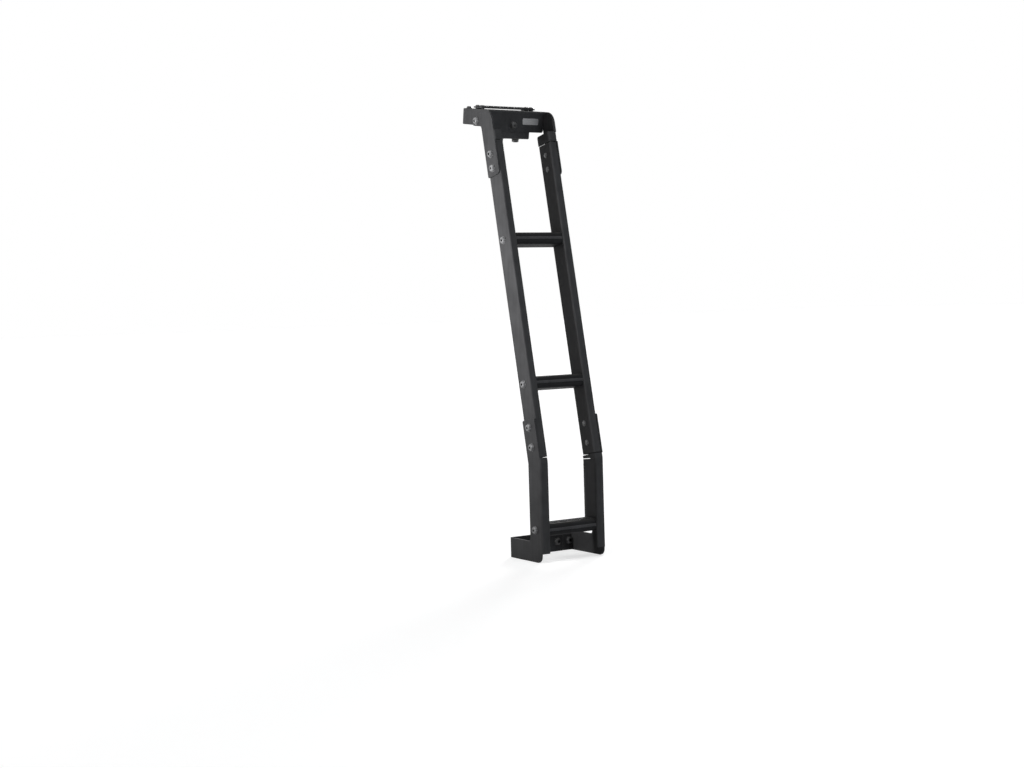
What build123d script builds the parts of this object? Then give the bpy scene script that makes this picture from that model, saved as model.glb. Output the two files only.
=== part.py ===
from build123d import *
import os
from math import cos, radians, sin, tan

# A narrow ladder for the rear corner of an off-road vehicle, in millimetres and degrees.
# +Z is up, +Y points at the vehicle, X = 0 is the middle of the ladder. The origin lies on the
# vehicle side of the foot flange, level with its bolt holes. The rails stand upright below the
# fold and lean towards the vehicle above it.

# Rails: two box tubes
rail_depth = 44
rail_width = 18
rail_wall = 2.5
rail_corner = 3
rail_length = 671
clear_width = 118
lean = 11.5

# Sheet brackets: plate folded at the hook, foot, cross bracket and jaw
sheet = 3
fold_radius = 4
butt_gap = 1.8
edge_round = 3

# Rungs: ribbed oval extrusions
step_height = 300
rung_depth = 40
rung_height = 25.5
rung_corner = 6
rung_wall = 2.5
rung_set_back = 4
bottom_rung_drop = 140
boss_radius = 6.5
boss_bore_radius = 3.4
rib_count = 6
rib_pitch = 4
rib_width = 1.8
rib_height = 1

# Foot bracket: side plate, front lip, short inner wall, leg and flange
fold_height = 186
foot_plate_rise = 94
foot_stub = 11
kerf = 1.2
lip_drop = 188
leg_reach = 123
leg_height = 42
heel_round = 15
crook_round = 6
flange_slit = 2
flange_slit_x = 54
flange_hole_pitch = 30
sleeve_radius = 6.5

# Hook bracket: side plate over the rail top, with a leg that reaches over the roof edge
hook_overlap = 71
hook_stub = 21
hook_rise = 65
hook_leg_length = 109
hook_leg_height = 34
hook_leg_rise = 8.4
hook_round = 30
hook_crook_round = 12
toe_round = 8

# Cross bracket between the hooks, its top plate, roof pad and gutter jaw
web_set_back = 33
web_height = 45
top_flange_depth = 74
tab_length = 32
tab_height = 36
leg_bolt_back = 54
leg_bolt_drop = 25
top_plate_width = 137
top_plate_depth = 34
top_plate_back = 54
top_plate_thick = 3
top_plate_screw_inset = 6.5
top_plate_screw_pitch = 18
weld_nut_height = 2
weld_nut_width = 10
pad_width = 150
pad_depth = 20
pad_thick = 6
pad_screw_inset = 5
jaw_width = 88
jaw_rise = 42
jaw_drop = 15
jaw_depth = 36
jaw_upturn = 13
jaw_slot_length = 20
jaw_bolt_drop = 31
clamp_bolt_back = 17
clamp_bolt_pitch = 40

# Bolts: M8, with M6 screws in the top plate and roof pad
bolt_hole_radius = 4.5
screw_hole_radius = 3.3
splice_bolt_rises = (36, 77)
hook_bolt_drops = (24, 55)

# Worked-out places
rail_inner = clear_width / 2
rail_outer = rail_inner + rail_width
plate_outer = rail_outer + sheet
rail_middle = rail_depth / 2
rung_middle = rung_set_back + rung_depth / 2
rail_foot = foot_stub + butt_gap
rail_top = rail_foot + rail_length
hook_toe = rail_top - hook_overlap
hook_corner = rail_top + hook_rise
bottom_rung = -bottom_rung_drop
middle_rung = (bottom_rung + step_height + rung_middle * sin(radians(lean))) / cos(radians(lean))
top_rung = middle_rung + step_height / cos(radians(lean))
foot_bottom = -fold_height - leg_height / 2
leg_top = -fold_height + leg_height / 2
hook_slope = lean + hook_leg_rise
inner_fold_radius = fold_radius - sheet
far_past = 4 * (leg_reach + rail_length)

# Frames: the upright foot, the leaning rails, and the hook legs at the top of the rails
foot_frame = Pos(0, -leg_reach, fold_height)
rail_frame = foot_frame * Rot(-lean, 0, 0)
hook_frame = rail_frame * Pos(0, 0, hook_corner) * Rot(hook_slope, 0, 0)


def block(x, y, z):
    """Box from three (low, high) pairs."""
    size = [high - low for low, high in (x, y, z)]
    middle = [(high + low) / 2 for low, high in (x, y, z)]
    return Pos(*middle) * Box(*size)


def rounded_plate(corners, x_low, x_high):
    """Side plate: an outline of (depth, height, corner radius) points, from x_low to x_high."""
    outline = Polygon(*[(y, z) for y, z, radius in corners], align=None)
    for y, z, radius in corners:
        if radius:
            corner = outline.vertices().sort_by_distance((y, z, 0))[0]
            outline = fillet(corner, radius)
    return Pos(x_low, 0, 0) * extrude(Plane.YZ * outline, x_high - x_low, dir=(1, 0, 0))


def cross_hole(y, z, x_low, x_high, radius=bolt_hole_radius):
    """Cylinder across the ladder, for a bolt hole through walls that face sideways."""
    length = x_high - x_low
    return Pos((x_low + x_high) / 2, y, z) * Rot(0, 90, 0) * Cylinder(radius, length)


def leaning(y, z):
    """A point of the rail frame, given in the foot frame."""
    turn = radians(lean)
    return y * cos(turn) + z * sin(turn), z * cos(turn) - y * sin(turn)


def on_leg(back, up):
    """A point of the hook frame, given in the rail frame."""
    turn = radians(hook_slope)
    return back * cos(turn) - up * sin(turn), hook_corner + back * sin(turn) + up * cos(turn)


def crook(leg_drop):
    """Height in the rail frame where the underside of the hook leg meets the rail's back line."""
    y, z = on_leg(0, -leg_drop)
    return z + (rail_depth - y) * tan(radians(hook_slope))


def channel(low, high):
    """Folded channel in line with the right rail: outer wall, front lip and inner wall."""
    outer = Pos((rail_inner + plate_outer) / 2, rail_middle) * Rectangle(plate_outer - rail_inner, rail_depth)
    hollow_depth = rail_depth - sheet
    hollow = Pos((rail_inner + sheet + rail_outer) / 2, sheet + hollow_depth / 2)
    hollow *= Rectangle(rail_width - sheet, hollow_depth)
    outer = fillet(outer.vertices().group_by(Axis.Y)[0], fold_radius)
    return Pos(0, 0, low) * extrude(outer - hollow, high - low)


def envelope(low, high):
    """The space that such a channel's outer wall takes out of a flat side plate."""
    return block((rail_outer, plate_outer), (0, rail_depth), (low, high))


def rail():
    """Right rail: a box tube with bolt holes for the rungs and both brackets."""
    section = RectangleRounded(rail_width, rail_depth, rail_corner)
    section -= Rectangle(rail_width - 2 * rail_wall, rail_depth - 2 * rail_wall)
    tube = Pos(rail_inner + rail_width / 2, rail_middle, rail_foot) * extrude(section, rail_length)
    for height in (middle_rung, top_rung):
        tube -= cross_hole(rung_middle, height, rail_inner - 1, plate_outer)
    for height in splice_bolt_rises:
        tube -= cross_hole(rail_middle, height, rail_inner - 1, plate_outer)
    for drop in hook_bolt_drops:
        tube -= cross_hole(rail_middle, rail_top - drop, rail_inner - 1, plate_outer)
    return rail_frame * tube


def rung(height, frame):
    """Rung: an oval tube with grip ribs on top and a screw boss along its middle."""
    outline = RectangleRounded(rung_depth, rung_height, rung_corner)
    core = RectangleRounded(rung_depth - 2 * rung_wall, rung_height - 2 * rung_wall, rung_corner - rung_wall)
    boss = Circle(boss_radius) + Rectangle(rung_wall, rung_height - rung_wall)
    section = outline - (core - boss) - Circle(boss_bore_radius)
    for index in range(rib_count):
        place = (index - (rib_count - 1) / 2) * rib_pitch
        section += Pos(place, rung_height / 2) * Rectangle(rib_width, 2 * rib_height)
    bar = Pos(-rail_inner, rung_middle, height) * extrude(Plane.YZ * section, clear_width)
    return frame * bar


def foot_bracket(flange_tip, hole_x):
    """Right foot bracket: folded so that the channel carries on the rail and the leg ends in a flange."""
    back_fold = -rail_depth * tan(radians(lean / 2))
    front_top = leaning(0, foot_plate_rise)
    back_top = leaning(rail_depth, foot_plate_rise)
    corners = [
        (*front_top, edge_round),
        (0, 0, 0),
        (0, -lip_drop, 0),
        (fold_radius, -lip_drop, 0),
        (fold_radius, foot_bottom, heel_round),
        (leg_reach, foot_bottom, 0),
        (leg_reach, leg_top, 0),
        (rail_depth, leg_top, crook_round),
        (rail_depth, back_fold, 0),
        (*back_top, edge_round),
    ]
    plate = rounded_plate(corners, rail_outer, plate_outer)

    # The channel is mitred where the rail line folds.
    mitre = Plane((0, 0, 0), x_dir=(1, 0, 0), z_dir=(0, sin(radians(lean / 2)), cos(radians(lean / 2))))
    above = Rot(-lean, 0, 0) * channel(-rail_depth, foot_stub)
    above = split(above, bisect_by=mitre, keep=Keep.TOP)
    below = split(channel(-lip_drop, rail_depth), bisect_by=mitre, keep=Keep.BOTTOM)
    room_above = split(Rot(-lean, 0, 0) * envelope(-rail_depth, foot_stub), bisect_by=mitre, keep=Keep.TOP)
    room_below = split(envelope(-lip_drop, rail_depth), bisect_by=mitre, keep=Keep.BOTTOM)
    bracket = plate - room_above - room_below + above + below

    # The inner wall stops level with the underside of the rung and is sawn through at the fold.
    inner_wall_foot = bottom_rung - rung_height / 2
    bracket -= block((rail_inner - 1, rail_outer), (sheet, rail_depth + 1), (-lip_drop - 1, inner_wall_foot))
    saw_cut = block((rail_inner - 1, rail_outer), (fold_radius, far_past), (-kerf / 2, kerf / 2))
    bracket -= Rot(-lean / 2, 0, 0) * saw_cut

    # The flange turns inward at the end of the leg.
    flange = block((flange_tip, plate_outer), (leg_reach - sheet, leg_reach), (foot_bottom, leg_top))
    flange -= Pos(hole_x, leg_reach, -fold_height) * Rot(90, 0, 0) * Cylinder(bolt_hole_radius, 4 * sheet)
    bracket += flange
    outer_fold = bracket.edges().filter_by(Axis.Z).sort_by_distance((plate_outer, leg_reach, -fold_height))[0]
    bracket = fillet(outer_fold, fold_radius)
    inner_fold_place = (rail_outer, leg_reach - sheet, -fold_height)
    inner_fold = bracket.edges().filter_by(Axis.Z).sort_by_distance(inner_fold_place)[0]
    bracket = fillet(inner_fold, inner_fold_radius)

    bracket -= cross_hole(rung_middle, bottom_rung, rail_inner - 1, plate_outer + 1)
    for height in splice_bolt_rises:
        bracket -= cross_hole(*leaning(rail_middle, height), rail_outer - 1, plate_outer + 1)
    return foot_frame * bracket


def bottom_sleeve():
    """Right spacer tube round the bottom rung's bolt, across the open channel."""
    tube = cross_hole(rung_middle, bottom_rung, rail_inner + sheet, rail_outer, sleeve_radius)
    tube -= cross_hole(rung_middle, bottom_rung, rail_inner, plate_outer)
    return foot_frame * tube


def hook_bracket():
    """Right hook bracket: bolted to the rail's outer side, with a leg over the roof edge."""
    corners = [
        (0, hook_toe, toe_round),
        (0, hook_corner, hook_round),
        (*on_leg(hook_leg_length, 0), edge_round),
        (*on_leg(hook_leg_length, -hook_leg_height), edge_round),
        (rail_depth, crook(hook_leg_height), hook_crook_round),
        (rail_depth, hook_toe, edge_round),
    ]
    plate = rounded_plate(corners, rail_outer, plate_outer)

    # A short channel butts on the rail's top end, with the free corner of its inner wall rounded.
    stub_low = rail_top + butt_gap
    stub_high = stub_low + hook_stub
    stub = channel(stub_low, stub_high)
    free_corner = stub.edges().filter_by(Axis.X).sort_by_distance((rail_inner, rail_depth, stub_high))[0]
    stub = fillet(free_corner, fold_radius)
    bracket = plate - envelope(stub_low, stub_high) + stub
    for drop in hook_bolt_drops:
        bracket -= cross_hole(rail_middle, rail_top - drop, rail_outer - 1, plate_outer + 1)
    bracket -= cross_hole(*on_leg(leg_bolt_back, -leg_bolt_drop), rail_outer - 1, plate_outer + 1)
    return rail_frame * bracket


def plate_screw_places():
    """Where the top plate's four screws stand, as (x, back) in the hook frame."""
    side = top_plate_width / 2 - top_plate_screw_inset
    middle = top_plate_back + top_plate_depth / 2
    half = top_plate_screw_pitch / 2
    return {
        "front_left": (-side, middle - half),
        "front_right": (side, middle - half),
        "rear_left": (-side, middle + half),
        "rear_right": (side, middle + half),
    }


def pad_screw_places():
    """Where the roof pad's two moulded-in screws stand, as (x, back) in the hook frame."""
    side = pad_width / 2 - pad_screw_inset
    back = web_set_back + top_flange_depth - pad_screw_inset
    return [(-side, back), (side, back)]


def upright_hole(x, back, low, high, radius=bolt_hole_radius):
    """Cylinder square to the hook legs, for a bolt hole through plates that lie along them."""
    return Pos(x, back, (low + high) / 2) * Cylinder(radius, high - low)


def cross_bracket():
    """Cross bracket: a front web with a top flange, folded down at both ends onto the hooks."""
    flange_back = web_set_back + top_flange_depth
    angle = Polygon(
        (web_set_back, 0),
        (web_set_back, -web_height),
        (web_set_back + sheet, -web_height),
        (web_set_back + sheet, -sheet),
        (flange_back, -sheet),
        (flange_back, 0),
        align=None,
    )
    angle = fillet(angle.vertices().sort_by_distance((web_set_back, 0, 0))[0], fold_radius)
    inner_corner = angle.vertices().sort_by_distance((web_set_back + sheet, -sheet, 0))[0]
    angle = fillet(inner_corner, inner_fold_radius)
    bracket = Pos(-rail_outer, 0, 0) * extrude(Plane.YZ * angle, 2 * rail_outer)
    for x in (-rail_outer, rail_outer):
        corner = bracket.edges().filter_by(Axis.Y).sort_by_distance((x, web_set_back, -web_height))[0]
        bracket = fillet(corner, fold_radius)

    tab_low = leg_bolt_back - tab_length / 2
    tab_high = leg_bolt_back + tab_length / 2
    for side in (-1, 1):
        ends = sorted((side * rail_outer, side * (rail_outer - sheet)))
        bracket += block(ends, (tab_low, tab_high), (-tab_height, -sheet / 2))
        bracket -= cross_hole(leg_bolt_back, -leg_bolt_drop, ends[0] - 1, ends[1] + 1)
    for x, back in pad_screw_places():
        bracket -= upright_hole(x, back, -2 * sheet, sheet, screw_hole_radius)
    bracket -= Pos(0, web_set_back, -jaw_bolt_drop) * Rot(90, 0, 0) * Cylinder(bolt_hole_radius, 4 * sheet)
    return hook_frame * bracket


def top_plate():
    """Thin step plate on the cross bracket's top flange."""
    low = weld_nut_height
    middle = top_plate_back + top_plate_depth / 2
    plate = extrude(RectangleRounded(top_plate_width, top_plate_depth, edge_round), top_plate_thick)
    plate = Pos(0, middle, low) * plate
    for x, back in plate_screw_places().values():
        plate -= upright_hole(x, back, low - 1, low + top_plate_thick + 1, screw_hole_radius)
    return hook_frame * plate


def weld_nut(x, back):
    """Thin hexagon nut welded on the top flange, which carries one corner of the top plate."""
    nut = extrude(RegularPolygon(weld_nut_width / 2, 6, major_radius=False), weld_nut_height)
    nut = Pos(x, back, 0) * nut
    nut -= upright_hole(x, back, -1, weld_nut_height + 1, screw_hole_radius)
    return hook_frame * nut


def roof_pad():
    """Rubber strip under the rear of the top flange, where it bears on the roof."""
    flange_back = web_set_back + top_flange_depth
    strip = Box(pad_width, pad_depth, pad_thick)
    strip = fillet(strip.edges().filter_by(Axis.Z), edge_round)
    return hook_frame * Pos(0, flange_back - pad_depth / 2, -sheet - pad_thick / 2) * strip


def gutter_jaw():
    """Gutter jaw: bolted to the web's back, with a lip that reaches under the rain gutter and turns up."""
    face = web_set_back + sheet
    inner_face = face + sheet
    low = -web_height - jaw_drop
    back = face + jaw_depth
    section = Polygon(
        (face, low + jaw_rise),
        (face, low),
        (back, low),
        (back, low + jaw_upturn),
        (back - sheet, low + jaw_upturn),
        (back - sheet, low + sheet),
        (inner_face, low + sheet),
        (inner_face, low + jaw_rise),
        align=None,
    )
    for y in (face, back):
        section = fillet(section.vertices().sort_by_distance((y, low, 0))[0], fold_radius)
    for y in (inner_face, back - sheet):
        section = fillet(section.vertices().sort_by_distance((y, low + sheet, 0))[0], inner_fold_radius)
    jaw = Pos(-jaw_width / 2, 0, 0) * extrude(Plane.YZ * section, jaw_width)
    slot = extrude(SlotOverall(jaw_slot_length, 2 * bolt_hole_radius), 2 * sheet, both=True)
    jaw -= Pos(0, face, -jaw_bolt_drop) * Rot(90, 0, 0) * slot
    for x in (-clamp_bolt_pitch / 2, clamp_bolt_pitch / 2):
        jaw -= upright_hole(x, face + clamp_bolt_back, low - 1, low + sheet + 1)
    return hook_frame * jaw


slit_low = flange_slit_x - flange_slit / 2
slit_high = flange_slit_x + flange_slit / 2
left_hole = flange_slit_x - flange_hole_pitch / 2
right_hole = flange_slit_x + flange_hole_pitch / 2

right_side = {
    "rail": rail(),
    "hook_bracket": hook_bracket(),
    "bottom_sleeve": bottom_sleeve(),
}
nodes = {}
for name, piece in right_side.items():
    nodes["right_" + name] = piece
    nodes["left_" + name] = mirror(piece, about=Plane.YZ)

# The left flange runs nearly the whole width and the right one fills the rest.
nodes["right_foot_bracket"] = foot_bracket(slit_high, right_hole)
nodes["left_foot_bracket"] = mirror(foot_bracket(-slit_low, -left_hole), about=Plane.YZ)
nodes["bottom_rung"] = rung(bottom_rung, foot_frame)
nodes["middle_rung"] = rung(middle_rung, rail_frame)
nodes["top_rung"] = rung(top_rung, rail_frame)
nodes["cross_bracket"] = cross_bracket()
nodes["top_plate"] = top_plate()
nodes["roof_pad"] = roof_pad()
nodes["gutter_jaw"] = gutter_jaw()
for name, place in plate_screw_places().items():
    nodes[name + "_weld_nut"] = weld_nut(*place)

os.makedirs("parts", exist_ok=True)
for name, piece in nodes.items():
    export_step(piece, f"parts/{name}.step")
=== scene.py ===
from math import cos, pi, radians, sin

import bmesh
import bpy
from mathutils import Matrix, Vector


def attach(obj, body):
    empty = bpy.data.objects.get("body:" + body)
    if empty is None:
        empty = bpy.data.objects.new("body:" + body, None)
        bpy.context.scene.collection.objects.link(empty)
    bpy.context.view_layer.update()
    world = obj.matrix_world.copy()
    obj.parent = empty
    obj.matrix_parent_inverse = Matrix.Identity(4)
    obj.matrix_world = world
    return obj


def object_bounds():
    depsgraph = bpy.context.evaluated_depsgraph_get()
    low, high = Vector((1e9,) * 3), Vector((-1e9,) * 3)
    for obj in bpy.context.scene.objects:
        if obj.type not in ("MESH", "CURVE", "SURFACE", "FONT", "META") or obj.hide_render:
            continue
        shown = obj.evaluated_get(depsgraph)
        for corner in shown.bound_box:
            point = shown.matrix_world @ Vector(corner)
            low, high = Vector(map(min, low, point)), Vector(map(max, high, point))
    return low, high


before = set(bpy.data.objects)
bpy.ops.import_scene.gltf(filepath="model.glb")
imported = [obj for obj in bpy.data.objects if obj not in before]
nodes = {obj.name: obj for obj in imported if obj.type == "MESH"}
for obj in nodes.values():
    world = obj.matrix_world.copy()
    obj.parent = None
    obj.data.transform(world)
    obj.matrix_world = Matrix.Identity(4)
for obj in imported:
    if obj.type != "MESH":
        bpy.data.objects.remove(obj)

cad_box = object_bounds()

# Rails: two aluminium box tubes, cut square, drilled and powder coated satin black. The coat has a
# fine orange-peel skin, a little road dust and lighter edges, partly rubbed wear and partly a painted edge
# highlight.
LEAN = radians(11.5)
FOLD_HEIGHT = 0.186
LEG_REACH = 0.123
RAIL_INNER = 0.059
RAIL_OUTER = 0.077
RAIL_MIDDLE = 0.022
RAIL_TOP = 0.6838
RAIL_BLACK = (0.058, 0.058, 0.060, 1)
foot_line = Matrix.Translation((0, -LEG_REACH, FOLD_HEIGHT))
rail_line = foot_line @ Matrix.Rotation(-LEAN, 4, "X")


def start_material(name):
    """A new node material, with makers of nodes, value ranges and colour mixes, and a feed to its shader."""
    material = bpy.data.materials.new(name)
    material.use_nodes = True
    tree = material.node_tree
    shader = tree.nodes["Principled BSDF"]

    def join(socket, source):
        if isinstance(source, bpy.types.NodeSocket):
            tree.links.new(source, socket)
        else:
            socket.default_value = source

    def node(kind, sockets=(), **values):
        added = tree.nodes.new(kind)
        for key, value in values.items():
            setattr(added, key, value)
        for socket, source in dict(sockets).items():
            join(added.inputs[socket], source)
        return added

    def spread(value, low, high, to_low=0.0, to_high=1.0):
        ranged = node("ShaderNodeMapRange", {"Value": value, "From Min": low, "From Max": high,
                                             "To Min": to_low, "To Max": to_high})
        return ranged.outputs["Result"]

    def mixed(share, first, second, way="MIX"):
        mix = node("ShaderNodeMix", data_type="RGBA", blend_type=way)
        for socket, source in zip((mix.inputs[0], mix.inputs[6], mix.inputs[7]), (share, first, second)):
            join(socket, source)
        return mix.outputs[2]

    def feed(socket, source):
        join(shader.inputs[socket], source)

    return material, node, spread, mixed, feed


def powder_coat(name, colour, gloss, dust=0.25):
    """Satin powder coat: orange-peel skin, cloudy gloss, rain streaks, dust on top, edges lightened by rubbed
    wear and a painted highlight.
    """
    material, node, spread, mixed, feed = start_material(name)
    place = node("ShaderNodeTexCoord").outputs["Object"]
    drawn_down = node("ShaderNodeMapping", {"Vector": place, "Scale": (130, 130, 7)}).outputs["Vector"]
    peel = node("ShaderNodeTexNoise", {"Vector": place, "Scale": 900, "Detail": 2}).outputs["Fac"]
    cloud = node("ShaderNodeTexNoise", {"Vector": place, "Scale": 24, "Detail": 6}).outputs["Fac"]
    speck = node("ShaderNodeTexNoise", {"Vector": place, "Scale": 320, "Detail": 5}).outputs["Fac"]
    streak = node("ShaderNodeTexNoise", {"Vector": drawn_down, "Scale": 1, "Detail": 4}).outputs["Fac"]

    soft_edge = node("ShaderNodeBevel", {"Radius": 0.0011}, samples=6).outputs["Normal"]
    true_face = node("ShaderNodeNewGeometry").outputs["Normal"]
    bend = node("ShaderNodeVectorMath", {0: soft_edge, 1: true_face}, operation="DOT_PRODUCT")
    worn_speck = spread(speck, 0.42, 0.62)
    edge = spread(bend.outputs["Value"], 0.99, 0.82)
    worn_and_highlit_edge = node("ShaderNodeMath", {0: edge, 1: worn_speck}, operation="MULTIPLY").outputs["Value"]
    upward = node("ShaderNodeSeparateXYZ", {0: true_face}).outputs["Z"]
    settled = node("ShaderNodeMath", {0: spread(upward, 0.2, 1.0, 0.0, dust), 1: cloud}, operation="MULTIPLY")

    clouded = mixed(1.0, colour, spread(cloud, 0.3, 0.7, 0.84, 1.16), "MULTIPLY")
    streaked = mixed(1.0, clouded, spread(streak, 0.3, 0.7, 0.92, 1.10), "MULTIPLY")
    dusted = mixed(settled.outputs["Value"], streaked, (0.12, 0.115, 0.105, 1))
    # Edges and worn specks are mixed to a lighter grey: partly rubbed wear, partly a painted edge highlight.
    feed("Base Color", mixed(worn_and_highlit_edge, dusted, (0.13, 0.13, 0.135, 1)))
    feed("Roughness", spread(cloud, 0.3, 0.7, gloss - 0.06, gloss + 0.08))
    feed("Specular IOR Level", 0.05)
    skin = node("ShaderNodeBump", {"Height": peel, "Normal": soft_edge, "Strength": 0.3, "Distance": 0.0002})
    feed("Normal", skin.outputs["Normal"])
    return material


def coat(finish, *names):
    """Gives the CAD pieces their finish."""
    for name in names:
        mesh = nodes[name].data
        mesh.materials.clear()
        mesh.materials.append(finish)


rail_coat = powder_coat("rail_powder_coat", RAIL_BLACK, 0.46)
coat(rail_coat, "left_rail", "right_rail")

# Rungs: ribbed aluminium extrusions cut to the clear width and coated a touch rougher than the rails, their
# black darkened as painted shade.
# A flat half-round bead runs along the front of each, coloured lighter than the rung as a painted highlight
# band.
STEP_HEIGHT = 0.300
RUNG_MIDDLE = 0.024
BOTTOM_RUNG = -0.140
MIDDLE_RUNG = (BOTTOM_RUNG + STEP_HEIGHT + RUNG_MIDDLE * sin(LEAN)) / cos(LEAN)
TOP_RUNG = MIDDLE_RUNG + STEP_HEIGHT / cos(LEAN)
RUNG_FRONT = 0.004
# Rung black is darker than the rails' black: painted shade standing in for shadowed recesses on the front.
RUNG_SHADED_BLACK = (0.020, 0.020, 0.021, 1)
# Bead colour is lighter than the rung: a painted highlight band along the nose.
BEAD_HIGHLIGHT_GREY = (0.072, 0.072, 0.075, 1)
BEAD_TALL = 0.0060
BEAD_PROUD = 0.0012
BEAD_STEPS = 24
SHARP_ANGLE = radians(32)
ALONG_RUNG = Matrix(((0, 0, 1, 0), (1, 0, 0, 0), (0, 1, 0, 0), (0, 0, 0, 1)))


def put(group, shape, place):
    """Adds a loose shape to a group, moved to its place, and frees it."""
    bmesh.ops.transform(shape, matrix=place, verts=shape.verts[:])
    carried = bpy.data.meshes.new("carried")
    shape.to_mesh(carried)
    shape.free()
    group.from_mesh(carried)
    bpy.data.meshes.remove(carried)


def finish_piece(name, group, finish):
    """Makes the group one named piece of the ladder, smooth but for its sharp edges."""
    for face in group.faces:
        face.smooth = True
    for edge in group.edges:
        edge.smooth = edge.calc_face_angle(0) < SHARP_ANGLE
    mesh = bpy.data.meshes.new(name)
    group.to_mesh(mesh)
    group.free()
    mesh.materials.append(finish)
    piece = bpy.data.objects.new(name, mesh)
    bpy.context.scene.collection.objects.link(piece)
    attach(piece, "root")


rung_shaded_coat = powder_coat("rung_coat_painted_shade", RUNG_SHADED_BLACK, 0.5, dust=0.4)
bead_highlight_coat = powder_coat("bead_painted_highlight_coat", BEAD_HIGHLIGHT_GREY, 0.42)
coat(rung_shaded_coat, "bottom_rung", "middle_rung", "top_rung")
rung_beads = bmesh.new()
for line, rise in ((foot_line, BOTTOM_RUNG), (rail_line, MIDDLE_RUNG), (rail_line, TOP_RUNG)):
    bead = bmesh.new()
    bmesh.ops.create_circle(bead, cap_ends=True, segments=BEAD_STEPS, radius=1)
    bmesh.ops.scale(bead, vec=(BEAD_PROUD, BEAD_TALL / 2, 1), verts=bead.verts[:])
    drawn = bmesh.ops.extrude_face_region(bead, geom=bead.faces[:])["geom"]
    bmesh.ops.translate(bead, vec=(0, 0, 2 * RAIL_INNER),
                        verts=[item for item in drawn if isinstance(item, bmesh.types.BMVert)])
    bmesh.ops.recalc_face_normals(bead, faces=bead.faces[:])
    put(rung_beads, bead, line @ Matrix.Translation((-RAIL_INNER, RUNG_FRONT, rise)) @ ALONG_RUNG)
finish_piece("rung_beads", rung_beads, bead_highlight_coat)

# Foot brackets: plate folded into a channel in line with each rail, with a leg and a flange that
# bolts to the body. Turned sleeves keep the open channel from closing on the bottom rung's bolts.
PLATE_OUTER = 0.080
SHEET = 0.003
BRACKET_BLACK = (0.056, 0.056, 0.058, 1)
ZINC_GREY = (0.20, 0.20, 0.205, 1)
ZINC_BLACK = (0.035, 0.035, 0.036, 1)


def dull_zinc(name, colour, gloss):
    """Dull zinc plate on turned steel: cloudy, turning marks, corners lightened as a painted highlight and
    hollows darkened as painted shade.
    """
    material, node, spread, mixed, feed = start_material(name)
    place = node("ShaderNodeTexCoord").outputs["Object"]
    grain = node("ShaderNodeTexNoise", {"Vector": place, "Scale": 1500, "Detail": 3}).outputs["Fac"]
    cloud = node("ShaderNodeTexNoise", {"Vector": place, "Scale": 180, "Detail": 4}).outputs["Fac"]
    soft_edge = node("ShaderNodeBevel", {"Radius": 0.0004}, samples=4).outputs["Normal"]
    true_face = node("ShaderNodeNewGeometry").outputs["Normal"]
    bend = node("ShaderNodeVectorMath", {0: soft_edge, 1: true_face}, operation="DOT_PRODUCT")
    edge = spread(bend.outputs["Value"], 0.98, 0.75, 0.0, 0.7)
    clouded = mixed(1.0, colour, spread(cloud, 0.3, 0.7, 0.6, 1.5), "MULTIPLY")
    # Corners are brightened to three times the colour: a painted highlight.
    painted_highlight = tuple(min(1.0, 3 * part) for part in colour)
    # Hollows are darkened by ambient occlusion: painted shade.
    open_air = node("ShaderNodeAmbientOcclusion", {"Distance": 0.004}, samples=8).outputs["AO"]
    painted_hollow_shade = spread(open_air, 0.5, 0.95, 0.05, 1.0)
    feed("Base Color", mixed(1.0, mixed(edge, clouded, painted_highlight), painted_hollow_shade, "MULTIPLY"))
    feed("Roughness", spread(cloud, 0.3, 0.7, gloss - 0.05, gloss + 0.08))
    feed("Specular IOR Level", 0.4)
    marks = node("ShaderNodeBump", {"Height": grain, "Normal": soft_edge, "Strength": 0.15,
                                    "Distance": 0.0001})
    feed("Normal", marks.outputs["Normal"])
    return material


bracket_coat = powder_coat("bracket_powder_coat", BRACKET_BLACK, 0.44)
bolt_finish = dull_zinc("bolt_dull_zinc", ZINC_GREY, 0.24)
black_finish = dull_zinc("bolt_black_zinc", ZINC_BLACK, 0.32)
coat(bracket_coat, "left_foot_bracket", "right_foot_bracket")
coat(bolt_finish, "left_bottom_sleeve", "right_bottom_sleeve")

# Bolts: dull zinc M8 button heads on washers, driven by a hexagon key. Those in the rails screw into
# flanged inserts set in the rail's inner wall, and those at the rungs bite into the rung's boss.
BOLT_STEPS = 28
BOLT_RADIUS = 0.004
HEAD_RADIUS = 0.0073
HEAD_HEIGHT = 0.0046
SOCKET_RADIUS = 0.0029
SOCKET_DEPTH = 0.0026
WASHER_RADIUS = 0.0084
WASHER_THICK = 0.0014
INSERT_RADIUS = 0.0060
INSERT_FLANGE = 0.0008
INSERT_TIP = 0.0020
THREAD_PITCH = 0.00125
THREAD_DEPTH = 0.0005


def turned(profile):
    """A lathe-turned shape: (radius, height) points spun about the bolt's axis."""
    shape = bmesh.new()
    points = [shape.verts.new((radius, 0, height)) for radius, height in profile]
    lines = [shape.edges.new(pair) for pair in zip(points, points[1:])]
    bmesh.ops.spin(shape, geom=points + lines, cent=(0, 0, 0), axis=(0, 0, 1), angle=2 * pi,
                   steps=BOLT_STEPS, use_merge=True)
    bmesh.ops.remove_doubles(shape, verts=shape.verts[:], dist=1e-6)
    bmesh.ops.recalc_face_normals(shape, faces=shape.faces[:])
    return shape


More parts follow.
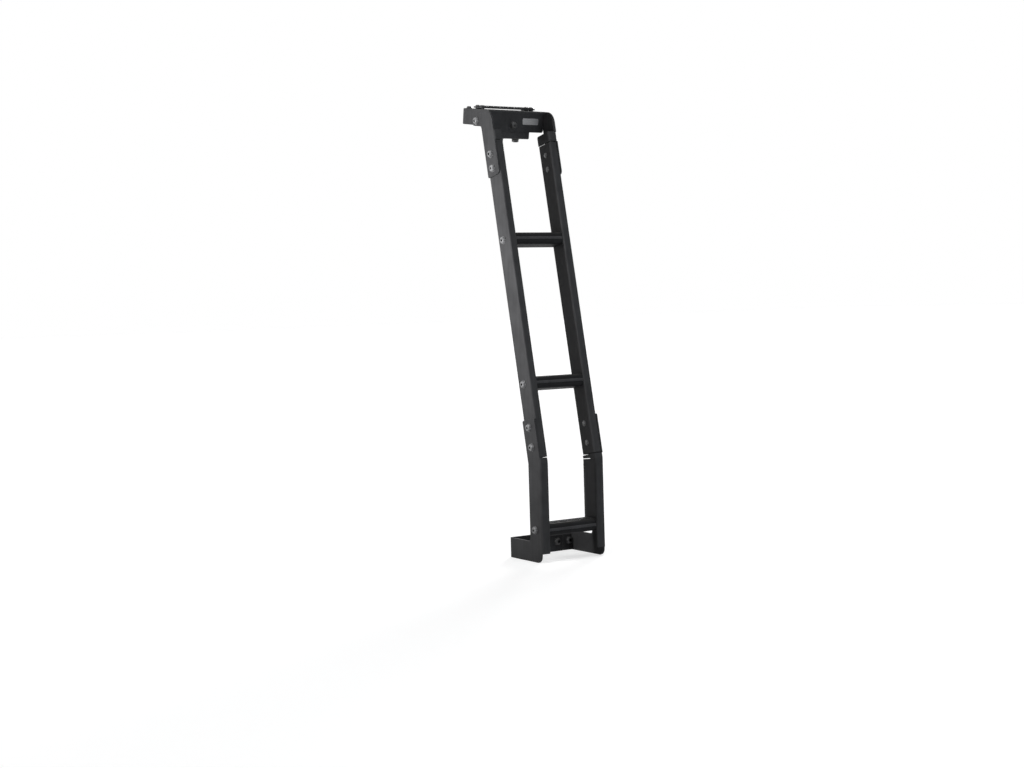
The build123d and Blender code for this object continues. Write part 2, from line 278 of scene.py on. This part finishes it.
def button_head(radius, height, socket_radius, socket_depth, shank_radius, shank_length):
    """Domed head with a hexagon socket, and its shank, standing on z = 0."""
    arcs = 6
    rim = socket_radius * 1.25
    profile = [(0, -shank_length), (shank_radius, -shank_length), (shank_radius, 0), (radius, 0)]
    for step in range(arcs + 1):
        turn = step / arcs * pi / 2
        profile.append((rim + (radius - rim) * cos(turn), height * (0.18 + 0.82 * sin(turn))))
    shape = turned(profile)
    mouth = [edge for edge in shape.edges if edge.is_boundary]
    hexagon = bmesh.ops.create_circle(shape, segments=6, radius=socket_radius,
                                      matrix=Matrix.Translation((0, 0, height)))["verts"]
    hexagon_edges = [edge for edge in shape.edges if all(vert in hexagon for vert in edge.verts)]
    bmesh.ops.bridge_loops(shape, edges=mouth + hexagon_edges)
    sunk = bmesh.ops.extrude_edge_only(shape, edges=hexagon_edges)["geom"]
    floor_verts = [item for item in sunk if isinstance(item, bmesh.types.BMVert)]
    floor_edges = [edge for edge in shape.edges if all(vert in floor_verts for vert in edge.verts)]
    bmesh.ops.translate(shape, vec=(0, 0, -socket_depth), verts=floor_verts)
    bmesh.ops.contextual_create(shape, geom=floor_edges)
    bmesh.ops.recalc_face_normals(shape, faces=shape.faces[:])
    return shape


def washer(radius, hole, thick):
    """Flat washer with a broken outer edge, standing on z = 0."""
    edge = thick * 0.3
    return turned([(hole, 0), (radius, 0), (radius, thick - edge), (radius - edge, thick), (hole, thick),
                   (hole, 0)])


def insert_end():
    """Thin flange of a threaded insert with the bolt's chamfered tip just through it."""
    lip = INSERT_FLANGE * 0.4
    return turned([(0, 0), (INSERT_RADIUS, 0), (INSERT_RADIUS, INSERT_FLANGE - lip),
                   (INSERT_RADIUS - lip, INSERT_FLANGE), (BOLT_RADIUS * 1.08, INSERT_FLANGE),
                   (BOLT_RADIUS * 1.08, INSERT_FLANGE * 0.5), (BOLT_RADIUS, INSERT_FLANGE * 0.5),
                   (BOLT_RADIUS, INSERT_TIP * 0.65), (BOLT_RADIUS * 0.8, INSERT_TIP), (0, INSERT_TIP)])


def washer_and_head(group, place, grip):
    """An M8 button head on its washer, with the shank reaching down through the grip."""
    put(group, washer(WASHER_RADIUS, BOLT_RADIUS, WASHER_THICK), place)
    shank = grip + WASHER_THICK
    head = button_head(HEAD_RADIUS, HEAD_HEIGHT, SOCKET_RADIUS, SOCKET_DEPTH, BOLT_RADIUS, shank)
    put(group, head, place @ Matrix.Translation((0, 0, WASHER_THICK)))


def facing_out(line, x, y, z, side):
    """Place on a sideways wall of the rail, foot or hook, with the bolt's head turned to that side."""
    return line @ Matrix.Translation((x, y, z)) @ Matrix.Rotation(side * pi / 2, 4, "Y")


SPLICE_RISES = (0.036, 0.077)
RUNG_GRIP = 0.017
SPLICE_GRIP = 0.019
rung_bolts = bmesh.new()
splice_bolts = bmesh.new()
for side in (-1, 1):
    for rise in (MIDDLE_RUNG, TOP_RUNG):
        outside = facing_out(rail_line, side * RAIL_OUTER, RUNG_MIDDLE, rise, side)
        washer_and_head(rung_bolts, outside, RUNG_GRIP)
    outside = facing_out(foot_line, side * PLATE_OUTER, RUNG_MIDDLE, BOTTOM_RUNG, side)
    washer_and_head(rung_bolts, outside, RUNG_GRIP + SHEET)
    for rise in SPLICE_RISES:
        outside = facing_out(rail_line, side * PLATE_OUTER, RAIL_MIDDLE, rise, side)
        washer_and_head(splice_bolts, outside, SPLICE_GRIP)
        put(splice_bolts, insert_end(), facing_out(rail_line, side * RAIL_INNER, RAIL_MIDDLE, rise, -side))
finish_piece("rung_bolts", rung_bolts, bolt_finish)
finish_piece("splice_bolts", splice_bolts, bolt_finish)

# Flange bolts: two black zinc button heads on the front of the foot flanges, one each side of the slit.
FLANGE_BOLT_X = (0.039, 0.069)
flange_bolts = bmesh.new()
for x in FLANGE_BOLT_X:
    washer_and_head(flange_bolts, Matrix.Translation((x, -SHEET, 0)) @ Matrix.Rotation(pi / 2, 4, "X"), SHEET)
finish_piece("flange_bolts", flange_bolts, black_finish)

# Hook brackets: plate folded like the feet, bolted through the top of each rail, with a leg that
# lies over the roof edge.
HOOK_CORNER = 0.7488
HOOK_SLOPE = LEAN + radians(8.4)
HOOK_DROPS = (0.024, 0.055)
hook_line = rail_line @ Matrix.Translation((0, 0, HOOK_CORNER)) @ Matrix.Rotation(HOOK_SLOPE, 4, "X")
coat(bracket_coat, "left_hook_bracket", "right_hook_bracket")
hook_bolts = bmesh.new()
for side in (-1, 1):
    for drop in HOOK_DROPS:
        rise = RAIL_TOP - drop
        outside = facing_out(rail_line, side * PLATE_OUTER, RAIL_MIDDLE, rise, side)
        washer_and_head(hook_bolts, outside, SPLICE_GRIP)
        put(hook_bolts, insert_end(), facing_out(rail_line, side * RAIL_INNER, RAIL_MIDDLE, rise, -side))
finish_piece("hook_bolts", hook_bolts, bolt_finish)

# Cross bracket: one folded plate between the hook legs, held by a bolt and nut through each end tab.
# A blank brushed plate with a raised rim is stuck on its front web.
LEG_BOLT_BACK = 0.054
LEG_BOLT_DROP = 0.025
WEB_BACK = 0.033
TAB_INNER = RAIL_OUTER - SHEET
NUT_RADIUS = 0.0075
NUT_HEIGHT = 0.0068
TIP_LENGTH = 0.0025
BADGE_MIDDLE = (0.043, -0.022)
BADGE_SIZE = (0.040, 0.0135, 0.0012)
BADGE_ROUND = 0.002
BADGE_RIM = 0.0009
BADGE_GREY = (0.26, 0.26, 0.265, 1)


def hexagon_nut(radius, height, tip_radius, tip_length):
    """Hexagon nut with chamfered corners and the bolt's threaded end standing out of it."""
    turns = int(tip_length / THREAD_PITCH)
    profile = [(0, height * 0.9), (tip_radius, height * 0.9)]
    for turn in range(turns):
        low = height + turn * THREAD_PITCH
        profile += [(tip_radius, low), (tip_radius - THREAD_DEPTH, low + THREAD_PITCH / 2)]
    end = height + tip_length
    profile += [(tip_radius, end - THREAD_DEPTH), (tip_radius - 2 * THREAD_DEPTH, end), (0, end)]
    shape = turned(profile)
    prism = bmesh.ops.create_cone(shape, cap_ends=True, segments=6, radius1=radius, radius2=radius,
                                  depth=height, matrix=Matrix.Translation((0, 0, height / 2)))["verts"]
    prism_edges = [edge for edge in shape.edges if all(vert in prism for vert in edge.verts)]
    bmesh.ops.bevel(shape, geom=prism_edges, offset=radius * 0.07, offset_type="OFFSET", affect="EDGES",
                    segments=2, profile=0.5, material=-1)
    return shape


def washer_and_nut(group, place, tip_length):
    """An M8 nut on its washer, with the bolt's end through it."""
    put(group, washer(WASHER_RADIUS, BOLT_RADIUS, WASHER_THICK), place)
    put(group, hexagon_nut(NUT_RADIUS, NUT_HEIGHT, BOLT_RADIUS, tip_length),
        place @ Matrix.Translation((0, 0, WASHER_THICK)))


def brushed_plate(name, colour):
    """Brushed aluminium: long fine scratches, cloudy gloss."""
    material, node, spread, mixed, feed = start_material(name)
    place = node("ShaderNodeTexCoord").outputs["Object"]
    drawn_along = node("ShaderNodeMapping", {"Vector": place, "Scale": (60, 3000, 3000)}).outputs["Vector"]
    scratch = node("ShaderNodeTexNoise", {"Vector": drawn_along, "Scale": 1, "Detail": 3}).outputs["Fac"]
    cloud = node("ShaderNodeTexNoise", {"Vector": place, "Scale": 90, "Detail": 4}).outputs["Fac"]
    feed("Base Color", mixed(1.0, colour, spread(scratch, 0.3, 0.7, 0.75, 1.25), "MULTIPLY"))
    feed("Roughness", spread(cloud, 0.3, 0.7, 0.36, 0.50))
    feed("Metallic", 0.6)
    skin = node("ShaderNodeBump", {"Height": scratch, "Strength": 0.15, "Distance": 0.0001})
    feed("Normal", skin.outputs["Normal"])
    return material


coat(bracket_coat, "cross_bracket")
leg_bolts = bmesh.new()
for side in (-1, 1):
    outside = facing_out(hook_line, side * PLATE_OUTER, LEG_BOLT_BACK, -LEG_BOLT_DROP, side)
    inside = facing_out(hook_line, side * TAB_INNER, LEG_BOLT_BACK, -LEG_BOLT_DROP, -side)
    washer_and_head(leg_bolts, outside, 2 * SHEET)
    washer_and_nut(leg_bolts, inside, TIP_LENGTH)
finish_piece("leg_bolts", leg_bolts, bolt_finish)

badge = bmesh.new()
bmesh.ops.create_grid(badge, x_segments=1, y_segments=1, size=0.5)
bmesh.ops.scale(badge, vec=(BADGE_SIZE[0], BADGE_SIZE[1], 1), verts=badge.verts[:])
bmesh.ops.bevel(badge, geom=badge.verts[:], offset=BADGE_ROUND, offset_type="OFFSET", affect="VERTICES",
                segments=4, profile=0.5, material=-1)
raised = bmesh.ops.extrude_face_region(badge, geom=badge.faces[:])["geom"]
badge_face = [item for item in raised if isinstance(item, bmesh.types.BMFace)]
bmesh.ops.translate(badge, vec=(0, 0, BADGE_SIZE[2]),
                    verts=[item for item in raised if isinstance(item, bmesh.types.BMVert)])
bmesh.ops.inset_region(badge, faces=badge_face, thickness=BADGE_RIM, use_even_offset=True)
bmesh.ops.inset_region(badge, faces=badge_face, thickness=BADGE_RIM / 3, depth=-BADGE_RIM / 3,
                       use_even_offset=True)
bmesh.ops.recalc_face_normals(badge, faces=badge.faces[:])
on_web = Matrix.Translation((BADGE_MIDDLE[0], WEB_BACK, BADGE_MIDDLE[1])) @ Matrix.Rotation(pi / 2, 4, "X")
bmesh.ops.transform(badge, matrix=hook_line @ on_web, verts=badge.verts[:])
finish_piece("blank_badge", badge, brushed_plate("badge_brushed_aluminium", BADGE_GREY))

# Gutter jaw: a folded lip that slides on one bolt through the web and bites the gutter from below.
# Two clamp bolts stand in the lip with their hexagon heads below it and a lock nut above.
JAW_BOLT_DROP = 0.031
JAW_FACE = WEB_BACK + SHEET
JAW_LOW = -0.060
CLAMP_BACK = JAW_FACE + 0.017
CLAMP_X = 0.020
CLAMP_TIP = 0.012
HEXAGON_HEAD = 0.0053
coat(bracket_coat, "gutter_jaw")
jaw_bolts = bmesh.new()
web_front = Matrix.Translation((0, WEB_BACK, -JAW_BOLT_DROP)) @ Matrix.Rotation(pi / 2, 4, "X")
washer_and_head(jaw_bolts, hook_line @ web_front, 2 * SHEET)
jaw_back = Matrix.Translation((0, JAW_FACE + SHEET, -JAW_BOLT_DROP)) @ Matrix.Rotation(-pi / 2, 4, "X")
washer_and_nut(jaw_bolts, hook_line @ jaw_back, TIP_LENGTH)
for x in (-CLAMP_X, CLAMP_X):
    under_lip = hook_line @ Matrix.Translation((x, CLAMP_BACK, JAW_LOW)) @ Matrix.Rotation(pi, 4, "X")
    put(jaw_bolts, washer(WASHER_RADIUS, BOLT_RADIUS, WASHER_THICK), under_lip)
    put(jaw_bolts, hexagon_nut(NUT_RADIUS, HEXAGON_HEAD, NUT_RADIUS * 0.7, 2 * THREAD_DEPTH),
        under_lip @ Matrix.Translation((0, 0, WASHER_THICK)))
    washer_and_nut(jaw_bolts, hook_line @ Matrix.Translation((x, CLAMP_BACK, JAW_LOW + SHEET)), CLAMP_TIP)
finish_piece("jaw_bolts", jaw_bolts, black_finish)

# Top plate: a step plate on four nuts welded to the top flange, pressed with rows of blunt grip
# teeth and held by M6 button screws.
PLATE_TOP = 0.005
PLATE_MIDDLE = 0.071
PLATE_SCREWS_X = 0.062
PLATE_SCREWS_BACK = (0.062, 0.080)
TOOTH_PITCH = 0.0074
TOOTH_RADIUS = 0.0025
TOOTH_HEIGHT = 0.0024
TOOTH_ROWS = 4
TOOTH_COLUMNS = 15
SCREW_RADIUS = 0.003
SCREW_HEAD_RADIUS = 0.0053
SCREW_HEAD_HEIGHT = 0.0033
SCREW_SOCKET_RADIUS = 0.0021
SCREW_SOCKET_DEPTH = 0.0018


def small_screw(shank_length):
    """An M6 button screw, standing on z = 0."""
    return button_head(SCREW_HEAD_RADIUS, SCREW_HEAD_HEIGHT, SCREW_SOCKET_RADIUS, SCREW_SOCKET_DEPTH,
                       SCREW_RADIUS, shank_length)


coat(bracket_coat, "top_plate")
coat(black_finish, "front_left_weld_nut", "front_right_weld_nut", "rear_left_weld_nut", "rear_right_weld_nut")
grip_teeth = bmesh.new()
for row in range(TOOTH_ROWS):
    for column in range(TOOTH_COLUMNS):
        x = (column - (TOOTH_COLUMNS - 1) / 2) * TOOTH_PITCH
        back = PLATE_MIDDLE + (row - (TOOTH_ROWS - 1) / 2) * TOOTH_PITCH
        tooth = turned([(0, 0), (TOOTH_RADIUS, 0), (TOOTH_RADIUS * 0.72, TOOTH_HEIGHT * 0.6),
                        (TOOTH_RADIUS * 0.52, TOOTH_HEIGHT), (TOOTH_RADIUS * 0.34, TOOTH_HEIGHT),
                        (TOOTH_RADIUS * 0.26, TOOTH_HEIGHT * 0.7), (0, TOOTH_HEIGHT * 0.7)])
        put(grip_teeth, tooth, hook_line @ Matrix.Translation((x, back, PLATE_TOP)))
finish_piece("grip_teeth", grip_teeth, bracket_coat)

plate_screws = bmesh.new()
for x in (-PLATE_SCREWS_X, PLATE_SCREWS_X):
    for back in PLATE_SCREWS_BACK:
        put(plate_screws, small_screw(PLATE_TOP), hook_line @ Matrix.Translation((x, back, PLATE_TOP)))
finish_piece("plate_screws", plate_screws, black_finish)

# Roof pad: a rubber strip under the rear of the top flange, held by two M6 button screws that go
# through the flange into nuts moulded in the strip.
PAD_SCREW_X = 0.070
PAD_SCREW_BACK = 0.102
PAD_WASHER_RADIUS = 0.0062
PAD_WASHER_THICK = 0.0012
PAD_BLACK = (0.016, 0.016, 0.016, 1)


def moulded_rubber(name, colour):
    """Matt moulded rubber: fine grain and a grey bloom."""
    material, node, spread, mixed, feed = start_material(name)
    place = node("ShaderNodeTexCoord").outputs["Object"]
    grain = node("ShaderNodeTexNoise", {"Vector": place, "Scale": 700, "Detail": 4}).outputs["Fac"]
    bloom = node("ShaderNodeTexNoise", {"Vector": place, "Scale": 35, "Detail": 5}).outputs["Fac"]
    feed("Base Color", mixed(1.0, colour, spread(bloom, 0.3, 0.7, 0.75, 1.6), "MULTIPLY"))
    feed("Roughness", spread(bloom, 0.3, 0.7, 0.72, 0.88))
    skin = node("ShaderNodeBump", {"Height": grain, "Strength": 0.4, "Distance": 0.0003})
    feed("Normal", skin.outputs["Normal"])
    return material


coat(moulded_rubber("pad_moulded_rubber", PAD_BLACK), "roof_pad")
pad_screws = bmesh.new()
for x in (-PAD_SCREW_X, PAD_SCREW_X):
    on_flange = hook_line @ Matrix.Translation((x, PAD_SCREW_BACK, 0))
    put(pad_screws, washer(PAD_WASHER_RADIUS, SCREW_RADIUS, PAD_WASHER_THICK), on_flange)
    put(pad_screws, small_screw(SHEET + PAD_WASHER_THICK),
        on_flange @ Matrix.Translation((0, 0, PAD_WASHER_THICK)))
finish_piece("pad_screws", pad_screws, black_finish)

# Studio: a pale floor under the feet, a white surround with a weak even glow, a soft beam from the left
# that fades towards the feet, weak lamps in front, above and behind, and the photograph's camera.
FLOOR_SIZE = 60.0
FLOOR_PALE = (0.50, 0.50, 0.50, 1)
FLOOR_GLOW = 0.66
SURROUND_GLOW = 0.045
KEY_PLACE = Vector((-1.7, -0.03, 0.66))
KEY_POWER = 3.4
KEY_SIZE = 0.15
KEY_SPREAD = radians(53)
WHITE_LIGHT = (1.0, 1.0, 1.0)
COOL_LIGHT = (0.86, 0.93, 1.0)
WEAK_LAMPS = {
    "front_fill": (Vector((0.2, -1.0, 0.25)), 0.55, radians(30), COOL_LIGHT),
    "overhead": (Vector((-0.1, -0.1, 1.0)), 1.2, radians(30), WHITE_LIGHT),
    "rear_fill": (Vector((0.75, 0.6, 0.3)), 2.2, radians(20), WHITE_LIGHT),
}
floor_shape = bmesh.new()
bmesh.ops.create_grid(floor_shape, x_segments=1, y_segments=1, size=FLOOR_SIZE / 2)
bmesh.ops.translate(floor_shape, vec=(0, 0, cad_box[0][2]), verts=floor_shape.verts[:])
floor_mesh = bpy.data.meshes.new("floor")
floor_shape.to_mesh(floor_mesh)
floor_shape.free()
floor_paint, floor_node, floor_spread, _, floor_feed = start_material("floor_pale")
floor_feed("Base Color", FLOOR_PALE)
floor_feed("Roughness", 0.9)
floor_feed("Specular IOR Level", 0.1)
floor_feed("Emission Color", (1, 1, 1, 1))
floor_path = floor_node("ShaderNodeLightPath").outputs
floor_seen = floor_path["Is Camera Ray"]
for ray in ("Is Transmission Ray", "Is Glossy Ray"):
    either = floor_node("ShaderNodeMath", {0: floor_seen, 1: floor_path[ray]}, operation="MAXIMUM")
    floor_seen = either.outputs["Value"]
floor_feed("Emission Strength", floor_spread(floor_seen, 0, 1, 0, FLOOR_GLOW))
floor_mesh.materials.append(floor_paint)
floor = bpy.data.objects.new("floor", floor_mesh)
bpy.context.scene.collection.objects.link(floor)

world = bpy.data.worlds.new("white_surround")
bpy.context.scene.world = world
world.use_nodes = True
sky = world.node_tree
backdrop = sky.nodes["Background"]
backdrop.inputs["Color"].default_value = (1, 1, 1, 1)
backdrop.inputs["Strength"].default_value = 1
glow = sky.nodes.new("ShaderNodeBackground")
glow.inputs["Color"].default_value = (1, 1, 1, 1)
glow.inputs["Strength"].default_value = SURROUND_GLOW
path = sky.nodes.new("ShaderNodeLightPath")
shown = path.outputs["Is Camera Ray"]
for ray in ("Is Transmission Ray", "Is Glossy Ray"):
    either = sky.nodes.new("ShaderNodeMath")
    either.operation = "MAXIMUM"
    sky.links.new(shown, either.inputs[0])
    sky.links.new(path.outputs[ray], either.inputs[1])
    shown = either.outputs["Value"]
choice = sky.nodes.new("ShaderNodeMixShader")
sky.links.new(shown, choice.inputs["Fac"])
sky.links.new(glow.outputs["Background"], choice.inputs[1])
sky.links.new(backdrop.outputs["Background"], choice.inputs[2])
sky.links.new(choice.outputs["Shader"], sky.nodes["World Output"].inputs["Surface"])

key_light = bpy.data.lights.new("left_key", "AREA")
key_light.energy = KEY_POWER
key_light.size = KEY_SIZE
key_light.spread = KEY_SPREAD
key = bpy.data.objects.new("left_key", key_light)
key.location = KEY_PLACE
key.rotation_euler = Vector((1, 0, 0)).to_track_quat("-Z", "Y").to_euler()
bpy.context.scene.collection.objects.link(key)
for name, (lamp_from, strength, angle, tint) in WEAK_LAMPS.items():
    light = bpy.data.lights.new(name, "SUN")
    light.energy = strength
    light.angle = angle
    light.color = tint
    lamp = bpy.data.objects.new(name, light)
    lamp.rotation_euler = (-lamp_from).to_track_quat("-Z", "Y").to_euler()
    bpy.context.scene.collection.objects.link(lamp)

CAMERA_PLACE = Vector((-1.9456, -2.9145, 0.5261))
CAMERA_YAW = radians(32.856)
CAMERA_PITCH = radians(3.003)
CAMERA_ROLL = radians(1.674)
CAMERA_LENS = 58.0
level_ahead = Vector((sin(CAMERA_YAW), cos(CAMERA_YAW), 0))
ahead = level_ahead * cos(CAMERA_PITCH) - Vector((0, 0, sin(CAMERA_PITCH)))
level_right = Vector((cos(CAMERA_YAW), -sin(CAMERA_YAW), 0))
level_up = level_right.cross(ahead)
right = level_right * cos(CAMERA_ROLL) - level_up * sin(CAMERA_ROLL)
up = level_right * sin(CAMERA_ROLL) + level_up * cos(CAMERA_ROLL)
camera_data = bpy.data.cameras.new("photo_camera")
camera_data.sensor_width = 36
camera_data.lens = CAMERA_LENS
camera = bpy.data.objects.new("photo_camera", camera_data)
camera.matrix_world = Matrix.Translation(CAMERA_PLACE) @ Matrix((right, up, -ahead)).transposed().to_4x4()
bpy.context.scene.collection.objects.link(camera)
bpy.context.scene.camera = camera
bpy.context.scene.view_settings.view_transform = "Standard"
